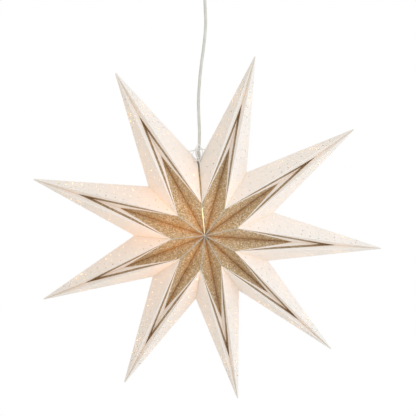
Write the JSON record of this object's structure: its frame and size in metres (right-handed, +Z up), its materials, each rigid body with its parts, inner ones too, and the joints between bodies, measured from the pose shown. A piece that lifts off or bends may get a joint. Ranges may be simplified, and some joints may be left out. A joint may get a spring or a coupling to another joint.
{
  "type": "hanging paper star light",
  "caption": "Folded paper advent star that hangs on its supply cord from a ceiling cup and is lit from inside by a lamp in a screw holder.",
  "frame": {"origin": "middle of the ceiling plate's top face, where the fitting meets the ceiling", "axes": "+Z up, out of the ceiling plate; the star's axis lies along Y, with its pictured front toward -Y"},
  "size_m": [0.5863, 0.1682, 0.7647],
  "materials": {
    "printed_paper": "warm white paper with fields of gold glitter print and pinholes",
    "string": "thin pale twisted string",
    "cord_sheath": "smooth pale grey-white sheath",
    "white_plastic": "satin white moulding",
    "core_ceramic": "unglazed white",
    "contact_brass": "plain",
    "lamp_globe": "opal globe lit warm white",
    "zinc_steel": "zinc plated",
    "block_plastic": "ivory moulding"
  },
  "bodies": {
    "root": {"spike_1": "printed_paper", "spike_2": "printed_paper", "spike_3": "printed_paper", "spike_4": "printed_paper", "spike_5": "printed_paper", "spike_6": "printed_paper", "spike_7": "printed_paper", "spike_8": "printed_paper", "spike_9": "printed_paper", "tie_string": "string", "supply_cord": "cord_sheath", "cord_bush": "white_plastic", "holder_cap": "white_plastic", "holder_core": "core_ceramic", "screw_sleeve": "contact_brass", "centre_contact": "contact_brass", "holder_shell": "white_plastic", "led_lamp": "lamp_globe", "ceiling_plate": "zinc_steel", "ceiling_cup": "white_plastic", "cup_screws": "zinc_steel", "cup_grip": "white_plastic", "grip_nut": "white_plastic", "terminal_block": "block_plastic"}
  },
  "joints": []
}
